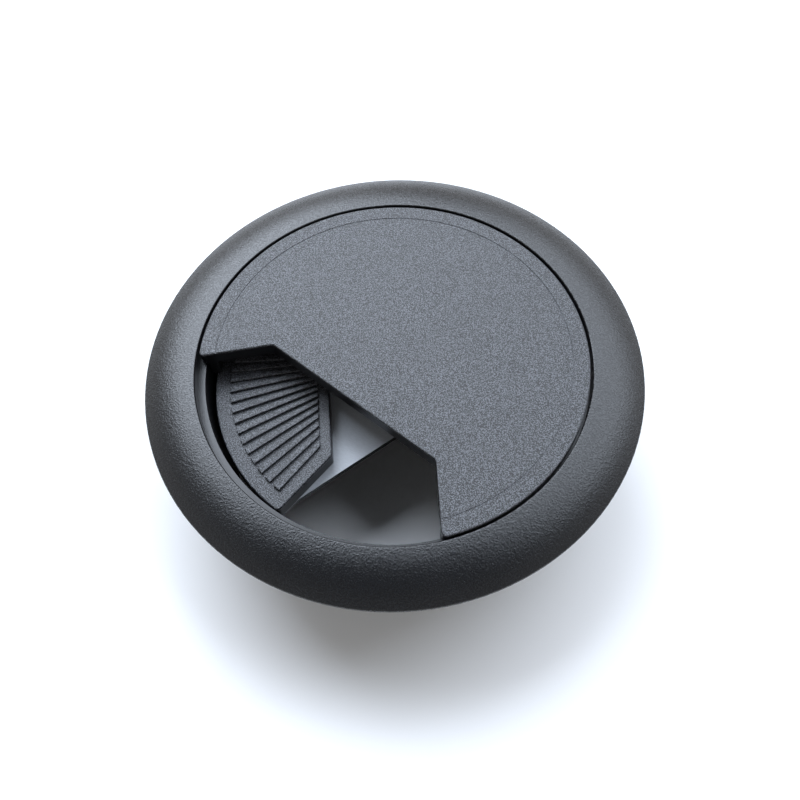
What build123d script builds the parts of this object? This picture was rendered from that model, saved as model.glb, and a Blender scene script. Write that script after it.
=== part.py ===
from build123d import *
import os
from math import cos, radians, sin

# Desk grommet for a 60 mm hole: a liner that drops into the desk, a round lid that
# turns in the liner's seat, and a shutter that turns on a snap post under the lid.
# Frame: origin on the axis at the flange's underside (the desk's surface), +Z up.
# Millimetres and degrees. Directions are world angles from +X, anticlockwise seen from above.

# --- heights above the desk's surface ---
TOP_Z = 2.6                # lid's top, level with the flange's lip
LEDGE_Z = 0.25             # ledge that the lid's plate lies on
SLEEVE_BOTTOM_Z = -19.5
LID_UNDERSIDE_Z = 0.3      # running clearance of 0.05 over the ledge
SPIGOT_BOTTOM_Z = -2.6
PAD_TOP_Z = -2.9
PLATE_TOP_Z = -5.6
PLATE_BOTTOM_Z = -6.6

# --- liner ---
SLEEVE_R = 29.7            # enters a 60 mm hole
BORE_R = 27.83
SEAT_R = 28.82
FLANGE_R = 36.56
FLANGE_EDGE_Z = 0.55       # where the dome meets the short upright edge
LIP_FLAT_R = 29.15         # the dome starts level here
LIP_FILLET = 0.2
EDGE_FILLET = 0.2
DOME_MID_R = 33.2
CORE_IN_R, CORE_OUT_R = 31.2, 34.8      # groove cored out of the flange's underside
CORE_DEPTH, CORE_OUT_DEPTH = 0.9, 0.5
SLEEVE_LEAD_IN = 0.8
CRUSH_RIB_COUNT = 12
CRUSH_RIB_WIDTH = 1.2
CRUSH_RIB_CREST_R = 29.92
CRUSH_RIB_BEVEL = 0.18
CRUSH_RIB_TOP_Z, CRUSH_RIB_BOTTOM_Z = -1.5, -17.0

# --- lid ---
LID_R = 28.5
SPIGOT_R, SPIGOT_IN_R = 27.5, 26.3
LID_EDGE_FILLET = 0.2
RIM_CORNER_R = 0.7
INNER_CORNER_R = 0.4
OPENING_AXIS_DEG = 228.3
OPENING_CHORD = 9.43       # from the axis to the opening's straight inner side
OPENING_SIDE = 5.0         # from the axis to the line of each flared side
OPENING_FLARE_DEG = 41.7   # each flared side from the opening's own axis
LINE_GROOVE_R, LINE_GROOVE_WIDTH, LINE_GROOVE_DEPTH = 26.05, 0.2, 0.07
RIB_ANGLES_DEG = (90, 135, 180, 225, 270)   # from the opening's axis
RIB_THICKNESS, RIB_BOTTOM_Z, RIB_IN_R = 1.2, -1.9, 7.4

# --- snap post and turning stop, on the lid's underside ---
POST_R = 3.0
POST_CLEARANCE = 0.05
BARB_R, BARB_TIP_R = 3.5, 2.6
BARB_GAP = 0.15            # end play under the hub
BARB_LAND, BARB_TAPER = 0.1, 1.5
POST_SLOT_WIDTH, POST_SLOT_TOP_Z = 1.2, -3.4
STOP_R, STOP_BOTTOM_Z = 5.0, -2.8
STOP_HALF_DEG = 12
STOP_DIRECTION_DEG = 40

# --- shutter ---
PAD_AXIS_DEG = 182.0       # square to the pad's straight inner side, at rest
TURN_OPEN_DEG, TURN_CLOSED_DEG = -43, 51
SHUTTER_R = 27.05
HUB_R, BOSS_R, BOSS_TOP_Z = 7.6, 6.3, 0.15
STOP_SLACK_DEG = 0.5
STOP_POCKET_R, STOP_POCKET_BOTTOM_Z = 5.3, -3.05
LEADING_EDGE_NORMAL_DEG = 120.4
TRAILING_EDGE_NORMAL_DEG = -139.7
PLATE_CORNER_R = 0.6
PAD_CHORD = 10.0
PAD_SIDE_NORMAL_DEG = 134.7
PAD_SIDE = 1.9
PAD_CORNER_R = 0.6
PAD_EDGE_FILLET = 0.2
PAD_ROOF, PAD_WALL = 1.5, 1.5

# --- fan of grip bars on the pad ---
FAN_CENTRE = (-2.3, -3.2)  # in the pad's frame: along the pad's axis, then to its left
BAR_COUNT, BAR_PITCH_DEG, BAR_HALF_DEG = 25, 3.75, 1.1
BAR_INNER_X = 11.6
BAR_OUTER_R = 24.8
BAR_HEIGHT, BAR_FILLET = 0.45, 0.1

FAR = 60.0                 # beyond every edge, for cutting shapes
MARGIN = 1.0               # cutting shapes run this far past the faces they cut
OVERLAP = 0.2              # joined shapes run this far into each other
SAME_POINT = 0.01          # points nearer than this are the same corner


def slab(sketch, low, high):
    """Extrude a flat sketch between two heights."""
    return extrude(Pos(0, 0, low) * sketch, high - low)


def polar(radius, angle_deg):
    """Point at a radius and an angle from +X."""
    return (radius * cos(radians(angle_deg)), radius * sin(radians(angle_deg)))


def half_plane(normal_deg, distance):
    """Large flat face holding the points up to a distance from the axis along a direction."""
    face = Pos(distance - FAR / 2, 0) * Rectangle(FAR, 2 * FAR)
    return Rot(0, 0, normal_deg) * face


def sector(radius, start_deg, end_deg):
    """Pie slice about the axis, narrower than half a turn."""
    reach = radius / cos(radians((end_deg - start_deg) / 2)) + MARGIN
    wedge = make_face(Polyline((0, 0), polar(reach, start_deg), polar(reach, end_deg), close=True))
    return Circle(radius) & wedge


def round_corner(sketch, corner, radius):
    """Round the one corner of a flat sketch that lies at a point."""
    at = [v for v in sketch.vertices() if (Vector(v.X, v.Y) - Vector(*corner)).length < SAME_POINT]
    return fillet(at, radius)


def ring(outer_r, inner_r):
    """Flat ring about the axis."""
    return Circle(outer_r) - Circle(inner_r)


def turned(points):
    """Solid of revolution about Z from straight-sided (radius, height) points."""
    return revolve(Plane.XZ * make_face(Polyline(*points, close=True)), Axis.Z)


# ---------------------------------------------------------------- liner

def liner_section():
    """Half section of flange, seat, ledge and sleeve."""
    drop = TOP_Z - FLANGE_EDGE_Z
    dome_r = ((FLANGE_R - LIP_FLAT_R) ** 2 + drop ** 2) / (2 * drop)
    dome_mid_z = TOP_Z - dome_r + (dome_r ** 2 - (DOME_MID_R - LIP_FLAT_R) ** 2) ** 0.5
    dome = ThreePointArc((LIP_FLAT_R, TOP_Z), (DOME_MID_R, dome_mid_z), (FLANGE_R, FLANGE_EDGE_Z))
    rest = Polyline(
        (FLANGE_R, FLANGE_EDGE_Z),
        (FLANGE_R, 0),
        (CORE_OUT_R, 0),
        (CORE_OUT_R, CORE_OUT_DEPTH),
        (CORE_IN_R, CORE_DEPTH),
        (CORE_IN_R, 0),
        (SLEEVE_R, 0),
        (SLEEVE_R, SLEEVE_BOTTOM_Z + SLEEVE_LEAD_IN),
        (SLEEVE_R - SLEEVE_LEAD_IN / 2, SLEEVE_BOTTOM_Z),
        (BORE_R, SLEEVE_BOTTOM_Z),
        (BORE_R, LEDGE_Z),
        (SEAT_R, LEDGE_Z),
        (SEAT_R, TOP_Z),
        (LIP_FLAT_R, TOP_Z),
    )
    face = make_face([dome, rest])
    face = round_corner(face, (SEAT_R, TOP_Z), LIP_FILLET)
    face = round_corner(face, (FLANGE_R, FLANGE_EDGE_Z), EDGE_FILLET)
    return round_corner(face, (FLANGE_R, 0), EDGE_FILLET)


def crush_ribs():
    """Low upright ribs that centre the sleeve in its hole."""
    depth = 2 * (CRUSH_RIB_CREST_R - SLEEVE_R)
    height = CRUSH_RIB_TOP_Z - CRUSH_RIB_BOTTOM_Z
    mid_z = (CRUSH_RIB_TOP_Z + CRUSH_RIB_BOTTOM_Z) / 2
    block = Box(depth, CRUSH_RIB_WIDTH, height)
    block = chamfer(block.edges().filter_by(Axis.Z).group_by(Axis.X)[-1], CRUSH_RIB_BEVEL)
    place = Pos(CRUSH_RIB_CREST_R - depth / 2, 0, mid_z)
    return [Rot(0, 0, k * 360 / CRUSH_RIB_COUNT) * place * block for k in range(CRUSH_RIB_COUNT)]


def make_liner():
    """Flange, seat and sleeve in one moulding."""
    body = revolve(Plane.XZ * liner_section(), Axis.Z)
    for rib in crush_ribs():
        body = body + rib
    return body


# ---------------------------------------------------------------- lid

def opening_sketch():
    """Cable opening: a straight inner side and two flared sides, open at the rim."""
    side_normal = 90 + OPENING_FLARE_DEG
    shape = half_plane(side_normal, OPENING_SIDE) & half_plane(-side_normal, OPENING_SIDE)
    return shape - half_plane(0, OPENING_CHORD)


def rounded_outline():
    """Lid's outline seen from above, with its corners rounded."""
    outline = Circle(LID_R) - opening_sketch()
    for vertex in opening_sketch().vertices():
        corner = (vertex.X, vertex.Y)
        if Vector(*corner).length < LID_R:
            outline = round_corner(outline, corner, INNER_CORNER_R)
    rim = [v for v in outline.vertices() if Vector(v.X, v.Y).length > LID_R - SAME_POINT and v.X > 0]
    return fillet(rim, RIM_CORNER_R)


def lid_plate():
    """Top plate with softened upper edges and the fine line turned near its rim."""
    plate = slab(rounded_outline(), LID_UNDERSIDE_Z, TOP_Z)
    plate = fillet(plate.edges().group_by(Axis.Z)[-1], LID_EDGE_FILLET)
    groove = ring(LINE_GROOVE_R + LINE_GROOVE_WIDTH / 2, LINE_GROOVE_R - LINE_GROOVE_WIDTH / 2)
    return plate - slab(groove, TOP_Z - LINE_GROOVE_DEPTH, TOP_Z + MARGIN)


def lid_spigot():
    """Broken ring under the plate that centres the lid in the bore."""
    return slab(ring(SPIGOT_R, SPIGOT_IN_R) & rounded_outline(), SPIGOT_BOTTOM_Z, LID_UNDERSIDE_Z)


def lid_ribs():
    """Radial stiffening ribs under the plate."""
    length = SPIGOT_IN_R + OVERLAP - RIB_IN_R
    bar = Pos(RIB_IN_R + length / 2, 0) * Rectangle(length, RIB_THICKNESS)
    return [Rot(0, 0, angle) * slab(bar, RIB_BOTTOM_Z, LID_UNDERSIDE_Z) for angle in RIB_ANGLES_DEG]


def snap_post():
    """Split post with a barbed tip, and the stop that limits the shutter's turn."""
    shoulder_z = PLATE_BOTTOM_Z - BARB_GAP
    taper_z = shoulder_z - BARB_LAND
    tip_z = taper_z - BARB_TAPER
    post = turned([
        (0, LID_UNDERSIDE_Z),
        (POST_R, LID_UNDERSIDE_Z),
        (POST_R, shoulder_z),
        (BARB_R, shoulder_z),
        (BARB_R, taper_z),
        (BARB_TIP_R, tip_z),
        (0, tip_z),
    ])
    split = slab(Rectangle(POST_SLOT_WIDTH, FAR), tip_z - MARGIN, POST_SLOT_TOP_Z)
    stop = slab(sector(STOP_R, -STOP_HALF_DEG, STOP_HALF_DEG), STOP_BOTTOM_Z, LID_UNDERSIDE_Z)
    return (post - split) + Rot(0, 0, STOP_DIRECTION_DEG - OPENING_AXIS_DEG) * stop


def make_lid():
    """Lid built with its opening towards +X, then turned to where it rests."""
    body = lid_plate() + lid_spigot()
    for rib in lid_ribs():
        body = body + rib
    body = body + snap_post()
    return Rot(0, 0, OPENING_AXIS_DEG) * body


# ---------------------------------------------------------------- shutter

def plate_sketch():
    """Sector plate: two straight edges tangent to the hub, and an arc inside the bore."""
    edges = half_plane(LEADING_EDGE_NORMAL_DEG, HUB_R) & half_plane(TRAILING_EDGE_NORMAL_DEG, HUB_R)
    blade = Circle(SHUTTER_R) & edges
    outer = [v for v in blade.vertices() if Vector(v.X, v.Y).length > SHUTTER_R - SAME_POINT]
    return fillet(outer, PLATE_CORNER_R)


def pad_sketch(inset=0.0):
    """Raised finger pad: straight inner side, two flared sides and the outer arc."""
    leading = half_plane(PAD_SIDE_NORMAL_DEG, PAD_SIDE - inset)
    mirrored_side = PAD_SIDE - 2 * FAN_CENTRE[1] * sin(radians(PAD_SIDE_NORMAL_DEG))
    trailing = half_plane(-PAD_SIDE_NORMAL_DEG, mirrored_side - inset)
    pad = Circle(SHUTTER_R - inset) & leading & trailing
    pad = pad - half_plane(0, PAD_CHORD + inset)
    return fillet(pad.vertices(), PAD_CORNER_R)


def grip_bars():
    """Fan of tapering bars that stand on the pad, cut off at a line and an arc."""
    field = Circle(BAR_OUTER_R) - half_plane(0, BAR_INNER_X)
    first = (BAR_COUNT - 1) / 2 * BAR_PITCH_DEG
    bars = []
    for k in range(BAR_COUNT):
        angle = first - k * BAR_PITCH_DEG
        left = polar(FAR, angle + BAR_HALF_DEG)
        right = polar(FAR, angle - BAR_HALF_DEG)
        wedge = Pos(*FAN_CENTRE) * make_face(Polyline((0, 0), right, left, close=True))
        bar = slab(wedge & field, PAD_TOP_Z - OVERLAP, PAD_TOP_Z + BAR_HEIGHT)
        bars.append(fillet(bar.edges().group_by(Axis.Z)[-1], BAR_FILLET))
    return bars


def hub():
    """Hub's foot in the plate and the boss that stands on it."""
    foot = slab(Circle(HUB_R), PLATE_BOTTOM_Z, PLATE_TOP_Z)
    return foot + slab(Circle(BOSS_R), PLATE_TOP_Z, BOSS_TOP_Z)


def stop_pocket():
    """Room for the stop over the whole turn, with its ends against the stop's flanks."""
    rest = STOP_DIRECTION_DEG - PAD_AXIS_DEG
    start = rest - TURN_CLOSED_DEG - STOP_HALF_DEG - STOP_SLACK_DEG
    end = rest - TURN_OPEN_DEG + STOP_HALF_DEG + STOP_SLACK_DEG
    return slab(sector(STOP_POCKET_R, start, end), STOP_POCKET_BOTTOM_Z, BOSS_TOP_Z + MARGIN)


def make_shutter():
    """Shutter built with its pad towards +X, then turned to where it rests."""
    body = slab(plate_sketch(), PLATE_BOTTOM_Z, PLATE_TOP_Z) + hub()
    pad = slab(pad_sketch(), PLATE_TOP_Z - OVERLAP, PAD_TOP_Z)
    body = body + fillet(pad.edges().group_by(Axis.Z)[-1], PAD_EDGE_FILLET)
    body = body - slab(pad_sketch(PAD_WALL), PLATE_BOTTOM_Z - MARGIN, PAD_TOP_Z - PAD_ROOF)
    for bar in grip_bars():
        body = body + bar
    body = body - slab(Circle(POST_R + POST_CLEARANCE), PLATE_BOTTOM_Z - MARGIN, BOSS_TOP_Z + MARGIN)
    body = body - stop_pocket()
    return Rot(0, 0, PAD_AXIS_DEG) * body


os.makedirs("parts", exist_ok=True)
NODES = {
    "liner": make_liner,
    "lid": make_lid,
    "shutter": make_shutter,
}
for node, make in NODES.items():
    shape = make()
    print(node, "solids", len(shape.solids()), "volume", round(shape.volume, 1))
    export_step(shape, f"parts/{node}.step")
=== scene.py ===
import bpy
from math import cos, pi, radians, sin
from mathutils import Matrix, Vector


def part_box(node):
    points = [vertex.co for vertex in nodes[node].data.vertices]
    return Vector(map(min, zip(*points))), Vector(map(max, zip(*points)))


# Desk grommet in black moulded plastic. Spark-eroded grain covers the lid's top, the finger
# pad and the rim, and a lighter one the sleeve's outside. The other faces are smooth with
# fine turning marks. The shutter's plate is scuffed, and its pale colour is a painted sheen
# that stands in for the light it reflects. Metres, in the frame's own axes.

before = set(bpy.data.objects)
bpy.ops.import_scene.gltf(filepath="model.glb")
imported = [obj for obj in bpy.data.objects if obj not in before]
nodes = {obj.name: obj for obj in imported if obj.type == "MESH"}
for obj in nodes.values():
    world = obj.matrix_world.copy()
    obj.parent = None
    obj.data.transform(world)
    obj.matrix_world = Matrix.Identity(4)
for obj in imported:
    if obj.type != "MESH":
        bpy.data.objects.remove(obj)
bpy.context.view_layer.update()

MM = 0.001


# ---------------------------------------------------------------- sizes read from the frame

LID_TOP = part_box("lid")[1].z
LID_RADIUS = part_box("lid")[1].y
FLOOR_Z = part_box("liner")[0].z


# ---------------------------------------------------------------- camera

CAMERA_ELEVATION = 61.08                   # degrees above the desk
CAMERA_ROLL = -3.4
CAMERA_DISTANCE = 107.0 * MM
CAMERA_TARGET = Vector((0.69 * MM, -7.61 * MM, LID_TOP))
CAMERA_LENS, CAMERA_SENSOR = 34.24, 36.0   # millimetres
CAMERA_CLIP = (5 * MM, 20.0)


def make_camera():
    """Close camera that looks along +Y and down at the lid, slightly rolled."""
    elevation, roll = radians(CAMERA_ELEVATION), radians(CAMERA_ROLL)
    back = Vector((0, -cos(elevation), sin(elevation)))
    level_up = Vector((0, sin(elevation), cos(elevation)))
    right = Vector((1, 0, 0)) * cos(roll) + level_up * sin(roll)
    up = back.cross(right)
    data = bpy.data.cameras.new("camera")
    data.lens, data.sensor_width = CAMERA_LENS, CAMERA_SENSOR
    data.clip_start, data.clip_end = CAMERA_CLIP
    data.dof.use_dof = False
    camera = bpy.data.objects.new("camera", data)
    turn = Matrix((right, up, back)).transposed().to_4x4()
    camera.matrix_world = Matrix.Translation(CAMERA_TARGET + back * CAMERA_DISTANCE) @ turn
    bpy.context.scene.collection.objects.link(camera)
    bpy.context.scene.camera = camera


# ---------------------------------------------------------------- node helpers

class Nodes:
    """Short way to build a node tree: add a node, set its inputs, link by passing a socket."""

    def __init__(self, owner):
        """Empty the node tree of a material or a world."""
        owner.use_nodes = True
        self.tree = owner.node_tree
        self.tree.nodes.clear()

    def add(self, kind, inputs=(), **settings):
        """New node; an input's value is a number, a colour or another node's socket."""
        node = self.tree.nodes.new(kind)
        for key, value in settings.items():
            setattr(node, key, value)
        for key, value in dict(inputs).items():
            if isinstance(value, bpy.types.NodeSocket):
                self.tree.links.new(value, node.inputs[key])
            else:
                node.inputs[key].default_value = value
        return node

    def math(self, operation, a, b=0.0):
        return self.add("ShaderNodeMath", {0: a, 1: b}, operation=operation).outputs[0]

    def ramp(self, value, low, high, to_low=0.0, to_high=1.0):
        """Smooth step of a value between two limits."""
        inputs = {"Value": value, "From Min": low, "From Max": high, "To Min": to_low, "To Max": to_high}
        node = self.add("ShaderNodeMapRange", inputs, interpolation_type="SMOOTHSTEP")
        return node.outputs["Result"]

    def noise(self, place, size, detail=2.0, roughness=0.5):
        """Noise from about 0 to 1 whose lumps are about a size apart."""
        inputs = {"Vector": place, "Scale": 1 / size, "Detail": detail, "Roughness": roughness}
        return self.add("ShaderNodeTexNoise", inputs, noise_dimensions="3D").outputs["Fac"]

    def mix(self, factor, a, b):
        """Blend of two numbers."""
        return self.add("ShaderNodeMix", {0: factor, 2: a, 3: b}, data_type="FLOAT").outputs[0]

    def mix_colour(self, factor, a, b):
        """Blend of two colours."""
        return self.add("ShaderNodeMix", {0: factor, 6: a, 7: b}, data_type="RGBA").outputs[2]


def distance_from_axis(n, place):
    """Distance of a place from the grommet's axis."""
    parts = n.add("ShaderNodeSeparateXYZ", {0: place}).outputs
    flat = n.add("ShaderNodeCombineXYZ", {"X": parts["X"], "Y": parts["Y"]}).outputs[0]
    return n.add("ShaderNodeVectorMath", {0: flat}, operation="LENGTH").outputs["Value"]


# ---------------------------------------------------------------- where each finish lies

MASK_FADE = 0.15 * MM
LID_GRAIN_Z = LID_TOP - 0.3 * MM           # just under the lid's rounded edge
RIM_GRAIN_Z = 0.3 * MM                     # the rim's grain ends just above the desk
LIP_RADIUS = LID_RADIUS + 0.34 * MM        # just outside the seat's wall
LIP_FADE = 0.1 * MM
SLEEVE_GRAIN = 0.45                        # its share of the rim's grain
PLATE_THICKNESS = 1.0 * MM
PLATE_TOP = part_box("shutter")[0].z + PLATE_THICKNESS
PLATE_REACH = 0.12 * MM                    # half the height of the band that the plate's face is in
PAD_GRAIN_Z = PLATE_TOP + 2.2 * MM         # just under the pad's rounded edge


def above(level, fade=MASK_FADE):
    """Mask: 1 above a height in the frame, 0 below."""
    def where(n, place):
        height = n.add("ShaderNodeSeparateXYZ", {0: place}).outputs["Z"]
        return n.ramp(height, level - fade, level + fade)
    return where


def rim_and_sleeve(n, place):
    """Mask: 1 on the flange's domed top and lip, less on the sleeve's outside, 0 in the seat and bore."""
    outside = n.ramp(distance_from_axis(n, place), LIP_RADIUS, LIP_RADIUS + LIP_FADE)
    return n.math("MULTIPLY", outside, n.mix(above(RIM_GRAIN_Z)(n, place), SLEEVE_GRAIN, 1.0))


def plate_only(n, place):
    """Mask: 1 on the shutter plate's upper face, 0 elsewhere."""
    low = above(PLATE_TOP - PLATE_REACH, PLATE_REACH / 2)
    high = above(PLATE_TOP + PLATE_REACH, PLATE_REACH / 2)
    return n.math("SUBTRACT", low(n, place), high(n, place))


# ---------------------------------------------------------------- moulded plastic

BLACK = (0.004, 0.0042, 0.005, 1)
TIPS = (0.088, 0.093, 0.105, 1)            # tips of the grain, paler from handling
# pale painted sheen for the shutter's plate, standing in for the light it reflects, over its real
# scuffing
SCUFF_AND_SHEEN = (0.38, 0.40, 0.43, 1)
SMOOTH_ROUGHNESS, SCUFFED_ROUGHNESS = 0.32, 0.45
REFRACTION = 1.5

BROAD_SIZE, BROAD_SHARE = 2.3, 0.35        # the broad swell, as shares of the fine grain's lumps
TIP_NOISE = (0.475, 0.57)                  # noise where a tip starts, and where it is full
TIP_POLISH = 0.16                          # a full tip is less rough by this much
CLOUD_SIZE = 9 * MM                        # slow drift of wear and roughness over a face
CLOUD_NOISE, CLOUD_WEAR = (0.2, 0.8), 0.85
CLOUD_ROUGHNESS = 0.08

MARK_SIZE, MARK_RUN = 0.16 * MM, 0.0025    # width of a rub mark, and how it runs on per radian
MARK_HEIGHT = 0.004 * MM
MARK_ROUGHNESS = 0.10
STREAK_NOISE, STREAK_LOW = (0.25, 0.7), 0.86


def turning_marks(n, place):
    """Fine marks round the axis, as the turning parts rub them; from 0 to 1."""
    parts = n.add("ShaderNodeSeparateXYZ", {0: place}).outputs
    angle = n.math("ARCTAN2", parts["Y"], parts["X"])
    unrolled = n.add("ShaderNodeCombineXYZ", {
        "X": distance_from_axis(n, place), "Y": n.math("MULTIPLY", angle, MARK_RUN), "Z": parts["Z"]})
    return n.noise(unrolled.outputs[0], MARK_SIZE, detail=4.0, roughness=0.6)


def drift(n, noise, span):
    """Noise turned into a number that strays either side of 0."""
    return n.math("MULTIPLY", n.math("SUBTRACT", noise, 0.5), span)


def plastic(name, grained_where, lump, height, rough, worn, scuff_and_sheen_where=None):
    """Black plastic: spark-eroded grain where one mask is 1, smooth elsewhere, and scuffed with a pale
    painted sheen in another.
    """
    material = bpy.data.materials.new(name)
    n = Nodes(material)
    place = n.add("ShaderNodeTexCoord").outputs["Object"]
    mask = grained_where(n, place)

    fine = n.noise(place, lump, detail=3.0, roughness=0.55)
    broad = n.noise(place, lump * BROAD_SIZE, detail=1.0)
    skin = n.math("ADD", fine, n.math("MULTIPLY", broad, BROAD_SHARE))
    marks = turning_marks(n, place)
    relief = n.mix(mask, n.math("MULTIPLY", marks, MARK_HEIGHT / height), skin)
    bump = n.add("ShaderNodeBump", {"Strength": 1.0, "Distance": height, "Height": relief}).outputs[0]

    cloud = n.noise(place, CLOUD_SIZE, detail=3.0)
    tips = n.ramp(fine, *TIP_NOISE)
    paler = n.math("MULTIPLY", tips, n.ramp(cloud, *CLOUD_NOISE, CLOUD_WEAR * worn, worn))
    colour = n.mix_colour(n.math("MULTIPLY", paler, mask), BLACK, TIPS)

    uneven = n.math("ADD", rough, drift(n, cloud, CLOUD_ROUGHNESS))
    grained = n.math("ADD", uneven, n.math("MULTIPLY", tips, -TIP_POLISH))
    smooth = n.math("ADD", SMOOTH_ROUGHNESS, drift(n, marks, MARK_ROUGHNESS))
    roughness = n.mix(mask, smooth, grained)

    # the plate's real scuffing, with a pale painted sheen in its colour that is streaked along the rub
    # marks
    if scuff_and_sheen_where:
        streaks = n.ramp(marks, *STREAK_NOISE, STREAK_LOW, 1.0)
        scuff_and_sheen_mask = n.math("MULTIPLY", scuff_and_sheen_where(n, place), streaks)
        colour = n.mix_colour(scuff_and_sheen_mask, colour, SCUFF_AND_SHEEN)
        roughness = n.mix(scuff_and_sheen_mask, roughness, SCUFFED_ROUGHNESS)

    shader = n.add("ShaderNodeBsdfPrincipled", {
        "Base Color": colour, "Roughness": roughness, "IOR": REFRACTION, "Normal": bump})
    n.add("ShaderNodeOutputMaterial", {"Surface": shader.outputs[0]})
    return material


COARSE_GRAIN = {"lump": 0.24 * MM, "height": 0.055 * MM, "rough": 0.31, "worn": 0.07}
FINE_GRAIN = {"lump": 0.16 * MM, "height": 0.07 * MM, "rough": 0.50, "worn": 1.0}


def finish_cad_nodes():
    """Give each moulding its own plastic."""
    materials = {
        "liner": plastic("liner_plastic", rim_and_sleeve, **COARSE_GRAIN),
        "lid": plastic("lid_plastic", above(LID_GRAIN_Z), **FINE_GRAIN),
        "shutter": plastic("shutter_plastic", above(PAD_GRAIN_Z), **FINE_GRAIN, scuff_and_sheen_where=plate_only),
    }
    for name, material in materials.items():
        mesh = nodes[name].data
        mesh.materials.clear()
        mesh.materials.append(material)


# ---------------------------------------------------------------- light

PANEL_DISTANCE = 0.9
WINDOW_TINT = (0.80, 0.88, 1.0)
# brightness of the surroundings at the sine of an elevation, from the horizon to overhead
SKY = ((0.0, 0.9), (0.34, 0.75), (0.71, 0.35), (0.91, 0.08))
HORIZON = SKY[0][1]


def panel(name, azimuth, elevation, size, radiance):
    """Soft window that faces the lid; azimuth is from +Y towards +X, size is width and height."""
    data = bpy.data.lights.new(name, "AREA")
    data.shape, data.size, data.size_y = "RECTANGLE", *size
    data.energy, data.color = radiance * pi * size[0] * size[1], WINDOW_TINT
    light = bpy.data.objects.new(name, data)
    around, up = radians(azimuth), radians(elevation)
    place = PANEL_DISTANCE * Vector((sin(around) * cos(up), cos(around) * cos(up), sin(up)))
    light.location = place
    light.rotation_euler = (-place).to_track_quat("-Z", "Y").to_euler()
    bpy.context.scene.collection.objects.link(light)


def make_sky():
    """Surroundings that are bright at the horizon and dark overhead."""
    world = bpy.data.worlds.new("studio")
    n = Nodes(world)
    direction = n.add("ShaderNodeTexCoord").outputs["Generated"]
    height = n.add("ShaderNodeSeparateXYZ", {0: direction}).outputs["Z"]
    ramp = n.add("ShaderNodeValToRGB", {"Fac": height})
    stops = ramp.color_ramp.elements
    for position, _ in SKY[1:-1]:
        stops.new(position)
    for stop, (position, value) in zip(stops, SKY):
        stop.position, stop.color = position, (value, value, value, 1)
    background = n.add("ShaderNodeBackground", {"Color": ramp.outputs["Color"]})
    n.add("ShaderNodeOutputWorld", {"Surface": background.outputs[0]})
    bpy.context.scene.world = world


def make_light():
    """Two soft windows beyond the object, and the sky round it."""
    panel("window", azimuth=-26, elevation=48, size=(0.68, 0.70), radiance=8.3)
    panel("side_window", azimuth=47, elevation=51, size=(0.90, 0.74), radiance=4.3)
    make_sky()
    bpy.context.scene.view_settings.view_transform = "Standard"


# ---------------------------------------------------------------- floor

FLOOR_SIZE = 6.0                           # from the axis to each side
FLOOR_FADE = (0.3, 1.2)                    # it takes on the horizon's brightness between these distances
FLOOR_PALE, FLOOR_FAR = (0.9, 0.9, 0.9, 1), (0, 0, 0, 1)
GLOW = (1, 1, 1, 1)


def make_floor():
    """Large pale floor whose far part glows as brightly as the horizon, so no dark edge shows."""
    mesh = bpy.data.meshes.new("floor")
    signs = ((-1, -1), (1, -1), (1, 1), (-1, 1))
    mesh.from_pydata([(x * FLOOR_SIZE, y * FLOOR_SIZE, FLOOR_Z) for x, y in signs], [], [(0, 1, 2, 3)])
    floor = bpy.data.objects.new("floor", mesh)
    bpy.context.scene.collection.objects.link(floor)
    paint = bpy.data.materials.new("floor_paint")
    n = Nodes(paint)
    place = n.add("ShaderNodeTexCoord").outputs["Object"]
    far = n.ramp(distance_from_axis(n, place), *FLOOR_FADE)
    shader = n.add("ShaderNodeBsdfPrincipled", {
        "Base Color": n.mix_colour(far, FLOOR_PALE, FLOOR_FAR),
        "Roughness": 0.9,
        "Specular IOR Level": 0.0,
        "Emission Color": GLOW,
        "Emission Strength": n.math("MULTIPLY", far, HORIZON),
    })
    n.add("ShaderNodeOutputMaterial", {"Surface": shader.outputs[0]})
    mesh.materials.append(paint)


make_camera()
make_floor()
make_light()
finish_cad_nodes()
